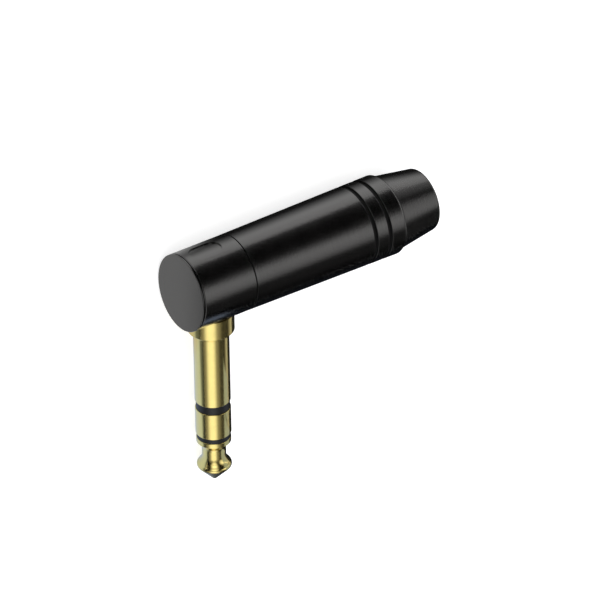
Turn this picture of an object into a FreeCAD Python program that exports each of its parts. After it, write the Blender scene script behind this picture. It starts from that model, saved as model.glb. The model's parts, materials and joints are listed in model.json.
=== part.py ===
import FreeCAD, Part
import math
import os
from FreeCAD import Vector

# Right-angle 6.35 mm stereo jack plug, in millimetres.
# The solids are drawn in the plug's own frame and laid down at the end.
# Plug frame: the finger runs from the shoulder at the origin along -Y, the barrel axis lies
# above the shoulder and runs to the cable along +X, and +Z is the side that ends up on top.

# Contact finger
FINGER_R = 3.175            # standard 6.35 mm plug
FINGER_LENGTH = 31.2        # shoulder to the end of the tip
UPPER_BAND = 1.6            # black band between sleeve and ring
RING_LENGTH = 5.25
LOWER_BAND = 0.95           # black band between ring and tip
TIP_LENGTH = 9.2
BAND_RELIEF = 0.16          # the bands lie this much under the metal

# Outline of the tip
RIM_STEP = 0.075            # rim under the finger's radius
NECK_R = 2.14
NECK_LENGTH = 1.2           # straight part of the neck
NECK_SWEEP_R = 2.0          # hollow between rim and neck
NECK_ROOT_R = 2.2           # hollow between neck and ball
BALL_STEP = 0.055           # ball's widest place under the finger's radius
BALL_CROWN_R = 0.65         # rounding of the ball's outline
BALL_FROM_TIP = 3.25
CONE_HALF_ANGLE = 43.0
NECK_STEPS = 3              # facets in each hollow of the neck
BALL_STEPS = 4              # facets round the ball

# Walls of the tubes inside the finger, from the outside inwards
SLEEVE_WALL = 0.855
RING_INSULATION = 0.43
RING_TUBE_WALL = 0.43
TIP_INSULATION = 0.38
FIT_GAP = 0.02              # radial gap of pieces that are pressed or pushed together

# Collar and stud
BARREL_DROP = 10.2          # barrel axis above the shoulder
COLLAR_PROUD = 0.975        # collar outside the finger
COLLAR_CHAMFER = 0.6
COLLAR_SEAT = 1.0           # depth of the collar's pocket in the head
STUD_STEP = 0.175           # stud inside the finger's radius
STUD_PROUD = 0.3            # stud beyond its nut

# Head
HEAD_R = 7.0
HEAD_FRONT = 6.09           # finger axis to the middle of the front face
HEAD_BACK = 5.17            # finger axis to the seam with the shell
FACE_SLANT = 3.55           # the front face leans back at its top
HEAD_WALL = 1.2
FLOOR_THICKNESS = 3.0       # cast floor that the finger's stud passes through
CAP_THICKNESS = 0.5
CAP_BOSS = 1.5
CAP_CHAMFER = 0.12
SEAM_CHAMFER = 0.15
BLANK_LENGTH = 6.2          # plain sunk field on the head, opposite the finger
BLANK_WIDTH = 4.0
BLANK_DEPTH = 0.2
BLANK_X = -0.8

# Threaded spigot of the head
SPIGOT_LENGTH = 6.5
THREAD_SHOULDER = 1.0       # thread's crests inside the head's radius
THREAD_DEPTH = 0.4
THREAD_PLAY = 0.1           # between the crests and the shell's bore
SPIGOT_WALL = 0.9
KEY_WIDTH = 2.0
KEY_DEPTH = 0.9
KEY_GAP = 0.06

# Shell
SHELL_LENGTH = 31.65
SHELL_PROUD = 0.02          # shell's front outside the head
SHELL_FLARE = 0.36          # growth of its radius to the rear rim
SEAM_GAP = 0.08
CONE_LENGTH = 6.4           # inner cone that closes the chuck
CONE_DROP = 1.45
REAR_GROOVE = 3.46          # middle of the rear groove before the rear rim
GROOVE_SPACING = 3.02
GROOVES = 2
GROOVE_WIDTH = 0.95
GROOVE_DEPTH = 0.36
REAR_CHAMFER = 0.3

# Cable bush
BUSH_LENGTH = 8.4
BUSH_STEP = 0.45            # bush inside the shell's rear rim
BUSH_TAPER = 1.13
BUSH_ROUND = 0.6
BUSH_WALL = 2.1             # at the cable's end
SOCKET_WALL = 1.98          # shell's wall round the bush's spigot
BUSH_SPIGOT_LENGTH = 2.9
MOUTH_FLARE = 0.8

# Chuck and liner
LINER_WALL = 1.1
RUNNING_GAP = 0.15
CHUCK_LENGTH = 14.13
CHUCK_HUB = 3.0
CHUCK_HUB_PLAY = 0.5        # hub's bore outside the grip
CHUCK_FINGERS = 4
CHUCK_SLIT = 0.9
STEM_CLEARANCE = 0.75       # fingers' stem inside the shell's bore
GRIP_STEP = 0.3             # grip inside the bush's cable hole
GRIP_LENGTH = 6.33
CHUCK_KEY_WEB = 1.8         # liner left in front of the chuck's keys
CHUCK_SEAT_GAP = 0.2        # at both ends of the chuck

# Terminal stack inside the head
LUG_THICKNESS = 0.4
LUG_RIM = 0.4               # lug's disc outside the stud
LUG_WIDTH = 2.4
SOLDER_HOLE_R = 0.6
LUG_END_GAP = 2.67          # longest lug to the chuck
RING_LUG_SHORT = 3.4        # shorter than the longest
TIP_LUG_SHORT = 1.6
BEND_LENGTH = 2.0
TAIL_CLEARANCE = 0.6        # bent tail inside the spigot's bore
LOCK_THICKNESS = 0.5
NUT_WALL = 0.5
NUT_PLAY = 0.47             # between the nut's flats and the chamber's rear wall
SLEEVE_NUT_THICKNESS = 1.4
WASHER_THICKNESS = 0.8
WASHER_RIM = 0.1            # washer outside the lugs
TUBE_PROUD = 0.2            # ring's tube beyond its lug
TIP_NUT_THICKNESS = 1.2
TIP_NUT_WALL = 1.0
ROD_PROUD = 0.3
CARRIER_START = 1.6         # behind the seam
CARRIER_LENGTH = 3.2
SLOT_GAP = 0.05

# Radii that follow from the sizes above
BAND_R = FINGER_R - BAND_RELIEF
RIM_R = FINGER_R - RIM_STEP
BALL_R = FINGER_R - BALL_STEP
SLEEVE_BORE_R = FINGER_R - SLEEVE_WALL
RING_SLEEVE_R = SLEEVE_BORE_R - FIT_GAP
RING_TUBE_R = RING_SLEEVE_R - RING_INSULATION - FIT_GAP
TIP_TUBE_R = RING_TUBE_R - RING_TUBE_WALL - FIT_GAP
TIP_ROD_R = TIP_TUBE_R - TIP_INSULATION - FIT_GAP
COLLAR_R = FINGER_R + COLLAR_PROUD
STUD_R = FINGER_R - STUD_STEP
NUT_HALF = STUD_R + NUT_WALL
LUG_R = STUD_R + LUG_RIM
WASHER_R = LUG_R + WASHER_RIM
CHAMBER_R = HEAD_R - HEAD_WALL
THREAD_MAJOR_R = HEAD_R - THREAD_SHOULDER
THREAD_ROOT_R = THREAD_MAJOR_R - THREAD_DEPTH
SHELL_BORE_R = THREAD_MAJOR_R + THREAD_PLAY
SPIGOT_BORE_R = THREAD_ROOT_R - SPIGOT_WALL
SHELL_FRONT_R = HEAD_R + SHELL_PROUD
SHELL_REAR_R = SHELL_FRONT_R + SHELL_FLARE
CONE_END_R = SHELL_BORE_R - CONE_DROP
BUSH_SPIGOT_R = SHELL_REAR_R - SOCKET_WALL
BUSH_START_R = SHELL_REAR_R - BUSH_STEP
BUSH_END_R = BUSH_START_R - BUSH_TAPER
CABLE_HOLE_R = BUSH_END_R - BUSH_WALL
GRIP_R = CABLE_HOLE_R - GRIP_STEP
HUB_BORE_R = GRIP_R + CHUCK_HUB_PLAY
LINER_R = SHELL_BORE_R - RUNNING_GAP
LINER_BORE_R = LINER_R - LINER_WALL
STEM_R = SHELL_BORE_R - STEM_CLEARANCE

# Heights along the finger that follow
TIP_START = TIP_LENGTH - FINGER_LENGTH
RING_END = TIP_START + LOWER_BAND
RING_START = RING_END + RING_LENGTH
SLEEVE_END = RING_START + UPPER_BAND
BALL_Y = BALL_FROM_TIP - FINGER_LENGTH
HEAD_UNDERSIDE = BARREL_DROP - HEAD_R
COLLAR_TOP = HEAD_UNDERSIDE + COLLAR_SEAT
FLOOR = HEAD_UNDERSIDE + FLOOR_THICKNESS
LUG_TOP = FLOOR + LUG_THICKNESS
LOCK_TOP = LUG_TOP + LOCK_THICKNESS
NUT_TOP = LOCK_TOP + SLEEVE_NUT_THICKNESS
STUD_TOP = NUT_TOP + STUD_PROUD
RING_LUG = STUD_TOP + WASHER_THICKNESS
RING_LUG_TOP = RING_LUG + LUG_THICKNESS
RING_TOP = RING_LUG_TOP + TUBE_PROUD
TIP_LUG = RING_TOP + WASHER_THICKNESS
TIP_LUG_TOP = TIP_LUG + LUG_THICKNESS
TIP_NUT_TOP = TIP_LUG_TOP + TIP_NUT_THICKNESS
ROD_TOP = TIP_NUT_TOP + ROD_PROUD
TIP_TAIL_REACH = math.sqrt((SPIGOT_BORE_R - TAIL_CLEARANCE) ** 2 - (LUG_WIDTH / 2) ** 2)
TIP_TAIL = BARREL_DROP + TIP_TAIL_REACH - LUG_THICKNESS

# Stations along the barrel that follow
CAP_BACK = CAP_THICKNESS - HEAD_FRONT
CHAMBER_START = CAP_BACK + CAP_BOSS
CHAMBER_END = NUT_HALF + NUT_PLAY
SPIGOT_END = HEAD_BACK + SPIGOT_LENGTH
SHELL_START = HEAD_BACK + SEAM_GAP
SHELL_END = SHELL_START + SHELL_LENGTH
BUSH_SPIGOT_START = SHELL_END - BUSH_SPIGOT_LENGTH
BUSH_START = SHELL_END + SEAM_GAP
BUSH_END = BUSH_START + BUSH_LENGTH
CONE_END = BUSH_SPIGOT_START
CONE_START = CONE_END - CONE_LENGTH
CHUCK_END = CONE_END - CHUCK_SEAT_GAP
CHUCK_START = CHUCK_END - CHUCK_LENGTH
CHUCK_HUB_END = CHUCK_START + CHUCK_HUB
LINER_END = CHUCK_START - CHUCK_SEAT_GAP
CHUCK_KEY_START = SPIGOT_END + CHUCK_KEY_WEB + CHUCK_SEAT_GAP
SLEEVE_LUG_END = CHUCK_START - LUG_END_GAP
RING_LUG_END = SLEEVE_LUG_END - RING_LUG_SHORT
TIP_LUG_END = SLEEVE_LUG_END - TIP_LUG_SHORT

# The plug lies on the shell's rear rim and on the ball of the tip.
LYING_ROLL = math.degrees(math.asin((SHELL_REAR_R - BALL_R) / (BARREL_DROP - BALL_Y)))
ACROSS = 4 * HEAD_R         # larger than any section, for cutting tools
ON_RIM = FIT_GAP / 10       # how near a rim an edge lies to belong to it
RULED_SLOPE = 0.05          # turned tapers up to this slope are ruled from end to end


def wire(points, place):
    """Closed wire. Two numbers are a straight run to a point, four an arc through the first pair."""
    edges = []
    here = place(*points[0])
    for step in points[1:] + [points[0]]:
        end = place(*step[-2:])
        if len(step) == 4:
            edges.append(Part.Arc(here, place(*step[:2]), end).toShape())
        elif not here.isEqual(end, 1e-7):
            edges.append(Part.makeLine(here, end))
        here = end
    return Part.Wire(edges)


def turned(points, place, centre, axis):
    """Body of revolution from a closed outline of straight runs, with its gentle tapers ruled."""
    corners = [place(*point) for point in points]
    edges = []
    for here, end in zip(corners, corners[1:] + corners[:1]):
        run = Part.LineSegment(here, end)
        drop = min(abs(end.x - here.x), abs(end.y - here.y))
        if ON_RIM < drop < RULED_SLOPE * run.length():
            run = run.toBSpline()
        edges.append(run.toShape())
    return Part.Face(Part.Wire(edges)).revolve(centre, axis, 360)


def turned_on_barrel(points):
    """Body of revolution about the barrel axis, from points given as station and radius."""
    centre = Vector(0, BARREL_DROP, 0)
    return turned(points, lambda x, r: centre + Vector(x, r, 0), centre, Vector(1, 0, 0))


def turned_on_finger(points):
    """Body of revolution about the finger's axis, from points given as radius and height."""
    return turned(points, lambda r, y: Vector(r, y, 0), Vector(0, 0, 0), Vector(0, 1, 0))


def rod_on_barrel(radius, start, end):
    """Cylinder on the barrel axis."""
    return Part.makeCylinder(radius, end - start, Vector(start, BARREL_DROP, 0), Vector(1, 0, 0))


def rod_on_finger(radius, low, high):
    """Cylinder on the finger's axis."""
    return Part.makeCylinder(radius, high - low, Vector(0, low, 0), Vector(0, 1, 0))


def block(low, high):
    """Box between two corners."""
    size = [b - a for a, b in zip(low, high)]
    return Part.makeBox(size[0], size[1], size[2], Vector(*low))


def turned_about_barrel(shape, angle):
    """Copy of a shape, turned about the barrel axis."""
    copy = shape.copy()
    copy.rotate(Vector(0, BARREL_DROP, 0), Vector(1, 0, 0), angle)
    return copy


def in_front_of_face(depth):
    """Everything in front of the slanted plane that lies this deep behind the front face."""
    box = block((-ACROSS, BARREL_DROP - ACROSS, -ACROSS), (0, BARREL_DROP + ACROSS, ACROSS))
    box.rotate(Vector(0, BARREL_DROP, 0), Vector(0, 0, 1), -FACE_SLANT)
    box.translate(Vector(depth - HEAD_FRONT, 0, 0))
    return box


def rim_edges(shape, radius, station, slant=0.0):
    """Edges round the barrel axis at a radius, in the plane through a station that leans by an angle."""
    lean = math.tan(math.radians(slant))
    found = []
    for edge in shape.Edges:
        points = edge.discretize(9)
        off_plane = max(abs(p.x - station - lean * (p.y - BARREL_DROP)) for p in points)
        off_rim = max(abs(math.hypot(p.y - BARREL_DROP, p.z) - radius) for p in points)
        if max(off_plane, off_rim) < ON_RIM:
            found.append(edge)
    return found


def keys(start, end, width, outer_r, inner_r):
    """Two keys beside the barrel axis: the parts of a ring that lie in a slot across it."""
    ring = rod_on_barrel(outer_r, start, end).cut(rod_on_barrel(inner_r, start, end))
    low = (start, BARREL_DROP - width / 2, -ACROSS)
    high = (end, BARREL_DROP + width / 2, ACROSS)
    return ring.common(block(low, high))


def along_arc(centre, radius, start, end, steps):
    """Points on an arc, from angles in degrees, for an outline that rounds in facets."""
    points = []
    for i in range(steps + 1):
        angle = math.radians(start + (end - start) * i / steps)
        points.append((centre[0] + radius * math.cos(angle), centre[1] + radius * math.sin(angle)))
    return points


def blank_field():
    """Cutter for the plain sunk field: a slot with round ends that follows the barrel's curve."""
    straight = (BLANK_LENGTH - BLANK_WIDTH) / 2
    half = BLANK_WIDTH / 2
    points = [
        (-straight, -half),
        (straight, -half),
        (straight + half, 0, straight, half),
        (-straight, half),
        (-straight - half, 0, -straight, -half),
    ]
    face = Part.Face(wire(points, lambda x, z: Vector(x + BLANK_X, BARREL_DROP, z)))
    inner = rod_on_barrel(HEAD_R - BLANK_DEPTH, -2 * HEAD_FRONT, HEAD_BACK)
    return face.extrude(Vector(0, 2 * HEAD_R, 0)).cut(inner)


def head_housing():
    """Cast elbow: round head, pocket for the collar, flat floor and threaded spigot."""
    head = rod_on_barrel(HEAD_R, -2 * HEAD_FRONT, HEAD_BACK).cut(in_front_of_face(CAP_THICKNESS))
    head = head.makeChamfer(SEAM_CHAMFER, rim_edges(head, HEAD_R, CAP_BACK, FACE_SLANT))
    head = head.fuse(turned_on_barrel([
        (0, 0),
        (0, THREAD_ROOT_R),
        (SPIGOT_END - THREAD_DEPTH, THREAD_ROOT_R),
        (SPIGOT_END, THREAD_ROOT_R - THREAD_DEPTH),
        (SPIGOT_END, 0),
    ]))
    chamber = rod_on_barrel(CHAMBER_R, CHAMBER_START, CHAMBER_END)
    over_floor = block((-ACROSS, FLOOR, -ACROSS), (ACROSS, FLOOR + ACROSS, ACROSS))
    head = head.cut(chamber.common(over_floor))
    head = head.cut(rod_on_barrel(CHAMBER_R, -2 * HEAD_FRONT, CHAMBER_START))
    head = head.cut(rod_on_barrel(SPIGOT_BORE_R, CHAMBER_END, SPIGOT_END))
    head = head.cut(rod_on_finger(COLLAR_R + FIT_GAP, HEAD_UNDERSIDE - HEAD_R, COLLAR_TOP))
    head = head.cut(rod_on_finger(STUD_R + FIT_GAP, COLLAR_TOP, FLOOR))
    head = head.cut(keys(SPIGOT_END - KEY_DEPTH, SPIGOT_END, KEY_WIDTH, HEAD_R, SPIGOT_BORE_R / 2))
    return head.cut(blank_field())


def front_cap():
    """Disc that closes the front, with a boss pressed into the bore."""
    rod = rod_on_barrel(HEAD_R, -2 * HEAD_FRONT, 0)
    disc = rod.common(in_front_of_face(CAP_THICKNESS)).cut(in_front_of_face(0))
    disc = disc.makeChamfer(CAP_CHAMFER, rim_edges(disc, HEAD_R, -HEAD_FRONT, FACE_SLANT))
    boss = rod_on_barrel(CHAMBER_R - FIT_GAP, -2 * HEAD_FRONT, CHAMBER_START)
    boss = boss.cut(in_front_of_face(CAP_THICKNESS))
    return disc.fuse(boss).removeSplitter()


def sleeve_contact():
    """Turned outer contact: bored barrel, collar with its shoulder, and stud."""
    return turned_on_finger([
        (SLEEVE_BORE_R, SLEEVE_END),
        (FINGER_R, SLEEVE_END),
        (FINGER_R, 0),
        (COLLAR_R - COLLAR_CHAMFER, 0),
        (COLLAR_R, COLLAR_CHAMFER),
        (COLLAR_R, COLLAR_TOP),
        (STUD_R, COLLAR_TOP),
        (STUD_R, STUD_TOP),
        (SLEEVE_BORE_R, STUD_TOP),
    ])


def ring_insulator():
    """Moulded sleeve between sleeve and ring, with the upper black band as its flange."""
    return turned_on_finger([
        (RING_TUBE_R + FIT_GAP, RING_START),
        (BAND_R, RING_START),
        (BAND_R, SLEEVE_END),
        (RING_SLEEVE_R, SLEEVE_END),
        (RING_SLEEVE_R, STUD_TOP),
        (RING_TUBE_R + FIT_GAP, STUD_TOP),
    ])


def ring_contact():
    """Ring with its long tube, which runs up through its lug."""
    bore = TIP_TUBE_R + FIT_GAP
    return turned_on_finger([
        (bore, RING_END),
        (FINGER_R, RING_END),
        (FINGER_R, RING_START),
        (RING_TUBE_R, RING_START),
        (RING_TUBE_R, RING_TOP),
        (bore, RING_TOP),
    ])


def tip_insulator():
    """Thin sleeve round the tip's rod, with the lower black band as its flange."""
    return turned_on_finger([
        (TIP_ROD_R + FIT_GAP, TIP_START),
        (BAND_R, TIP_START),
        (BAND_R, RING_END),
        (TIP_TUBE_R, RING_END),
        (TIP_TUBE_R, RING_TOP),
        (TIP_ROD_R + FIT_GAP, RING_TOP),
    ])


def tip_contact():
    """Tip with rim, hollow neck, ball and cone, on a rod that runs up into the head."""
    ball = (BALL_R - BALL_CROWN_R, BALL_Y)
    root_r = NECK_R + NECK_ROOT_R
    reach = BALL_CROWN_R + NECK_ROOT_R
    meet = math.degrees(math.acos((root_r - ball[0]) / reach))
    root_y = BALL_Y + reach * math.sin(math.radians(meet))
    neck_y = root_y + NECK_LENGTH
    sweep_r = NECK_R + NECK_SWEEP_R
    rim_turn = math.degrees(math.acos((sweep_r - RIM_R) / NECK_SWEEP_R))
    crown = along_arc(ball, BALL_CROWN_R, -CONE_HALF_ANGLE, meet, BALL_STEPS)
    root = along_arc((root_r, root_y), NECK_ROOT_R, 180 + meet, 180, NECK_STEPS)
    sweep = along_arc((sweep_r, neck_y), NECK_SWEEP_R, 180, 180 - rim_turn, NECK_STEPS)
    nose_r = crown[0][0] - (crown[0][1] + FINGER_LENGTH) * math.tan(math.radians(CONE_HALF_ANGLE))
    return turned_on_finger([
        (0, -FINGER_LENGTH),
        (nose_r, -FINGER_LENGTH),
        *crown,
        *root[1:],
        *sweep,
        (RIM_R, TIP_START),
        (TIP_ROD_R, TIP_START),
        (TIP_ROD_R, ROD_TOP),
        (0, ROD_TOP),
    ])


def lug(level, hole_r, end, tail_level):
    """Stamped solder lug: its plan cut through its side view, which bends up to the tail's level."""
    half = LUG_WIDTH / 2
    tall = 2 * BARREL_DROP
    low = level - tall
    eye = Vector(end - half, low, 0)
    plan = rod_on_finger(LUG_R, low, low + 2 * tall)
    plan = plan.fuse(block((0, low, -half), (end - half, low + 2 * tall, half)))
    plan = plan.fuse(Part.makeCylinder(half, 2 * tall, eye, Vector(0, 1, 0)))
    plan = plan.cut(rod_on_finger(hole_r, low, low + 2 * tall))
    plan = plan.cut(Part.makeCylinder(SOLDER_HOLE_R, 2 * tall, eye, Vector(0, 1, 0)))
    lower = [(-LUG_R, level), (LUG_R, level), (LUG_R + BEND_LENGTH, tail_level), (end, tail_level)]
    if level == tail_level:
        lower = [lower[0], lower[-1]]
    upper = [(x, y + LUG_THICKNESS) for x, y in reversed(lower)]
    side = Part.Face(wire(lower + upper, lambda x, y: Vector(x, y, -LUG_R)))
    return side.extrude(Vector(0, 0, 2 * LUG_R)).common(plan).removeSplitter()


def sleeve_lug():
    """Ground lug on the head's floor."""
    return lug(FLOOR, STUD_R + FIT_GAP, SLEEVE_LUG_END, FLOOR)


def ring_lug():
    """Lug under the peened end of the ring's tube."""
    return lug(RING_LUG, RING_TUBE_R + FIT_GAP, RING_LUG_END, RING_LUG)


def tip_lug():
    """Lug under the tip's nut, bent up away from the ring's lug."""
    return lug(TIP_LUG, TIP_ROD_R + FIT_GAP, TIP_LUG_END, TIP_TAIL)


def lock_washer():
    """Split spring washer under the sleeve's nut."""
    ring = rod_on_finger(NUT_HALF - FIT_GAP, LUG_TOP, LOCK_TOP)
    ring = ring.cut(rod_on_finger(STUD_R + FIT_GAP, LUG_TOP, LOCK_TOP))
    half_split = LOCK_THICKNESS / 2
    return ring.cut(block((-ACROSS, LUG_TOP, -half_split), (0, LOCK_TOP, half_split)))


def hex_nut(half_flats, hole_r, low, high):
    """Hexagon nut on the finger's axis, with a flat towards the cable."""
    corner_r = half_flats / math.cos(math.pi / 6)
    corners = [(corner_r * math.sin(i * math.pi / 3), corner_r * math.cos(i * math.pi / 3)) for i in range(6)]
    prism = Part.Face(wire(corners, lambda x, z: Vector(x, low, z))).extrude(Vector(0, high - low, 0))
    return prism.cut(rod_on_finger(hole_r, low, high))


def sleeve_nut():
    """Nut that draws the finger's stud through the head's floor."""
    return hex_nut(NUT_HALF, STUD_R + FIT_GAP, LOCK_TOP, NUT_TOP)


def tip_nut():
    """Nut on the threaded end of the tip's rod."""
    return hex_nut(TIP_ROD_R + TIP_NUT_WALL, TIP_ROD_R + FIT_GAP, TIP_LUG_TOP, TIP_NUT_TOP)


def insulating_washer(hole_r, low, high):
    """Flat washer of the terminal stack."""
    return rod_on_finger(WASHER_R, low, high).cut(rod_on_finger(hole_r, low, high))


def lower_washer():
    """Washer between the stud's end and the ring's lug."""
    return insulating_washer(RING_TUBE_R + FIT_GAP, STUD_TOP, RING_LUG)


def upper_washer():
    """Washer between the peened ring tube and the tip's lug."""
    return insulating_washer(TIP_ROD_R + FIT_GAP, RING_TOP, TIP_LUG)


def terminal_carrier():
    """Moulded disc in the spigot's bore that holds the three tails apart."""
    start = HEAD_BACK + CARRIER_START
    end = start + CARRIER_LENGTH
    disc = rod_on_barrel(SPIGOT_BORE_R - FIT_GAP, start, end)
    half = LUG_WIDTH / 2 + SLOT_GAP
    for level in (FLOOR, RING_LUG, TIP_TAIL):
        low = (start, level - SLOT_GAP, -half)
        high = (end, level + LUG_THICKNESS + SLOT_GAP, half)
        disc = disc.cut(block(low, high))
    return disc


def liner():
    """Insulating tube over the solder tails, keyed to the spigot and to the chuck."""
    tube = rod_on_barrel(LINER_R, SPIGOT_END, LINER_END)
    tube = tube.cut(rod_on_barrel(LINER_BORE_R, SPIGOT_END, LINER_END))
    tab_start = SPIGOT_END - KEY_DEPTH + KEY_GAP
    tab_r = THREAD_ROOT_R - KEY_GAP
    tube = tube.fuse(keys(tab_start, SPIGOT_END, KEY_WIDTH - 2 * KEY_GAP, tab_r, LINER_BORE_R))
    slots = keys(CHUCK_KEY_START - CHUCK_SEAT_GAP, LINER_END, KEY_WIDTH, HEAD_R, LINER_BORE_R / 2)
    return tube.cut(slots).removeSplitter()


def chuck():
    """Collet that grips the cable: hub with two keys, and slit fingers closed by the shell's cone."""
    slope = CONE_DROP / CONE_LENGTH
    taper_start = CONE_START + (STEM_CLEARANCE - RUNNING_GAP) / slope
    taper_end_r = CONE_END_R + CHUCK_SEAT_GAP * slope - RUNNING_GAP
    grip_start = CHUCK_END - GRIP_LENGTH
    body = turned_on_barrel([
        (CHUCK_START, HUB_BORE_R),
        (CHUCK_START, LINER_R),
        (CHUCK_HUB_END, LINER_R),
        (CHUCK_HUB_END, STEM_R),
        (taper_start, STEM_R),
        (CHUCK_END, taper_end_r),
        (CHUCK_END, GRIP_R),
        (grip_start, GRIP_R),
        (grip_start, HUB_BORE_R),
    ])
    half_slit = CHUCK_SLIT / 2
    low = (CHUCK_HUB_END + CHUCK_SLIT, BARREL_DROP, -half_slit)
    slit = block(low, (CHUCK_END, BARREL_DROP + HEAD_R, half_slit))
    for i in range(CHUCK_FINGERS):
        body = body.cut(turned_about_barrel(slit, 360 * i / CHUCK_FINGERS))
    key_width = KEY_WIDTH - 2 * KEY_GAP
    return body.fuse(keys(CHUCK_KEY_START, CHUCK_START, key_width, LINER_R, LINER_BORE_R)).removeSplitter()


def ring_groove(centre):
    """Outline of a ring groove in the shell's flared skin."""
    half = GROOVE_WIDTH / 2
    flare = SHELL_FLARE / SHELL_LENGTH
    outline = ((centre - half, 0), (centre, GROOVE_DEPTH), (centre + half, 0))
    return [(x, SHELL_FRONT_R + flare * (x - SHELL_START) - depth) for x, depth in outline]


def shell():
    """Flared outer barrel with ring grooves, threaded mouth, inner cone and the bush's socket."""
    outline = [(SHELL_START, SHELL_BORE_R), (SHELL_START, SHELL_FRONT_R)]
    for i in reversed(range(GROOVES)):
        outline += ring_groove(SHELL_END - REAR_GROOVE - GROOVE_SPACING * i)
    return turned_on_barrel(outline + [
        (SHELL_END - REAR_CHAMFER, SHELL_REAR_R),
        (SHELL_END, SHELL_REAR_R - REAR_CHAMFER),
        (SHELL_END, BUSH_SPIGOT_R),
        (BUSH_SPIGOT_START, BUSH_SPIGOT_R),
        (BUSH_SPIGOT_START, CONE_END_R),
        (CONE_START, SHELL_BORE_R),
    ])


def tail_bush():
    """Tapered cable bush, pressed into the shell's rear."""
    round_centre = (BUSH_END - BUSH_ROUND, BUSH_END_R - BUSH_ROUND)
    return turned_on_barrel([
        (BUSH_SPIGOT_START, CABLE_HOLE_R),
        (BUSH_SPIGOT_START, BUSH_SPIGOT_R - FIT_GAP),
        (BUSH_START, BUSH_SPIGOT_R - FIT_GAP),
        (BUSH_START, BUSH_START_R),
        *along_arc(round_centre, BUSH_ROUND, 90, 0, 2),
        (BUSH_END, CABLE_HOLE_R + MOUTH_FLARE),
        (BUSH_END - MOUTH_FLARE, CABLE_HOLE_R),
    ])


NODES = [
    head_housing,
    front_cap,
    sleeve_contact,
    ring_insulator,
    ring_contact,
    tip_insulator,
    tip_contact,
    sleeve_lug,
    lock_washer,
    sleeve_nut,
    lower_washer,
    ring_lug,
    upper_washer,
    tip_lug,
    tip_nut,
    terminal_carrier,
    liner,
    chuck,
    shell,
    tail_bush,
]


os.makedirs("parts", exist_ok=True)
for make in NODES:
    shape = make()
    shape.rotate(Vector(0, 0, 0), Vector(1, 0, 0), LYING_ROLL)
    shape.exportStep("parts/" + make.__name__ + ".step")
    print(make.__name__, len(shape.Solids), "solid", shape.isValid(), round(shape.Volume, 2))
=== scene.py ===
"""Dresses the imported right-angle stereo jack plug: turned pieces, thread, finishes and studio."""

import json
import math

import bmesh
import bpy
from mathutils import Matrix, Vector

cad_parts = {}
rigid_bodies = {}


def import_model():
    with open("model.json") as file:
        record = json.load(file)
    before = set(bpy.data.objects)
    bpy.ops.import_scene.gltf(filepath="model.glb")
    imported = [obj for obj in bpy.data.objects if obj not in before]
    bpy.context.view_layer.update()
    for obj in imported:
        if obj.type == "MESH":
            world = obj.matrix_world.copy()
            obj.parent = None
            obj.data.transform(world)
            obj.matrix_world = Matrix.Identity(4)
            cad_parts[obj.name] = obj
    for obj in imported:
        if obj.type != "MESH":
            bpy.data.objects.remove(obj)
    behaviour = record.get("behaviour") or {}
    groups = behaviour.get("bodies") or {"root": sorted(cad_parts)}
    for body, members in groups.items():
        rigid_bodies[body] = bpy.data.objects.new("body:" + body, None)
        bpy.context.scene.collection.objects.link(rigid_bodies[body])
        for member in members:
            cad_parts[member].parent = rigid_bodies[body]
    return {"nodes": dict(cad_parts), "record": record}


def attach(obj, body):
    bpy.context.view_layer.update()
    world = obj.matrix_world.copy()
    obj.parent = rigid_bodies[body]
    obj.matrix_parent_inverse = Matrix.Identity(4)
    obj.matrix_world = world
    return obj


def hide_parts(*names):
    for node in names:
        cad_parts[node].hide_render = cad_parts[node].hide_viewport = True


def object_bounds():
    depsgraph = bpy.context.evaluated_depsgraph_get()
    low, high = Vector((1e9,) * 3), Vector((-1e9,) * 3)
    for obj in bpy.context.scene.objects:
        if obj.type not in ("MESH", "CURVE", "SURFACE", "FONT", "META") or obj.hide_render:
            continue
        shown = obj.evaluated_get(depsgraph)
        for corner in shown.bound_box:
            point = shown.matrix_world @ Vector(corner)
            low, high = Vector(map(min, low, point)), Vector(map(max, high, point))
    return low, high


bl_info = {
    "name": "Right-angle stereo jack plug",
    "version": (1, 0, 0),
    "blender": (4, 5, 0),
    "location": "3D View > Sidebar > Jack plug",
    "description": "Builds the visible turned pieces, the finishes and the studio of a jack plug",
    "category": "Object",
}

for leftover in list(bpy.data.objects):
    bpy.data.objects.remove(leftover)

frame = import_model()
CAD_LOW, CAD_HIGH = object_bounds()
MOUNTS = {mount["name"]: mount for mount in frame["record"]["mounts"]}

MM = 0.001
SEGMENTS = 180              # facets round a turned piece
SMOOTH_BELOW = math.radians(32)
LONG_LINE = 0.5 * MM        # a line of an outline above this length gets a guard point near each end
GUARD = 0.03 * MM           # from the end of the line to its guard point
GROOVES = (6.48 * MM, 3.46 * MM)        # middles of the shell's ring grooves, from its rear rim


def linear(hex_colour):
    """Linear RGB of an sRGB colour such as #1B1A19."""
    values = [int(hex_colour[i:i + 2], 16) / 255 for i in (1, 3, 5)]
    return tuple(v / 12.92 if v <= 0.04045 else ((v + 0.055) / 1.055) ** 2.4 for v in values)


def rgba(colour, share=1):
    """A linear colour as a socket takes it, darkened to a share of itself."""
    return (*(value * share for value in colour), 1)


WHITE = rgba(linear("#FFFFFF"))


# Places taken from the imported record

def axis_place(mount_name):
    """Matrix whose X axis runs along a mount's axis, from the mount's own place."""
    mount = MOUNTS[mount_name]
    turn = Vector(mount["axis"]).to_track_quat("X", "Z")
    return Matrix.Translation(Vector(mount["pos_m"])) @ turn.to_matrix().to_4x4()


def barrel_place():
    """Matrix of the barrel axis, with X counted from the finger's axis as in the solids."""
    along = MOUNTS["cable_outlet"]["pos_m"][0]
    return axis_place("cable_outlet") @ Matrix.Translation((-along, 0, 0))


# Sizes and colours that a user would change

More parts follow.
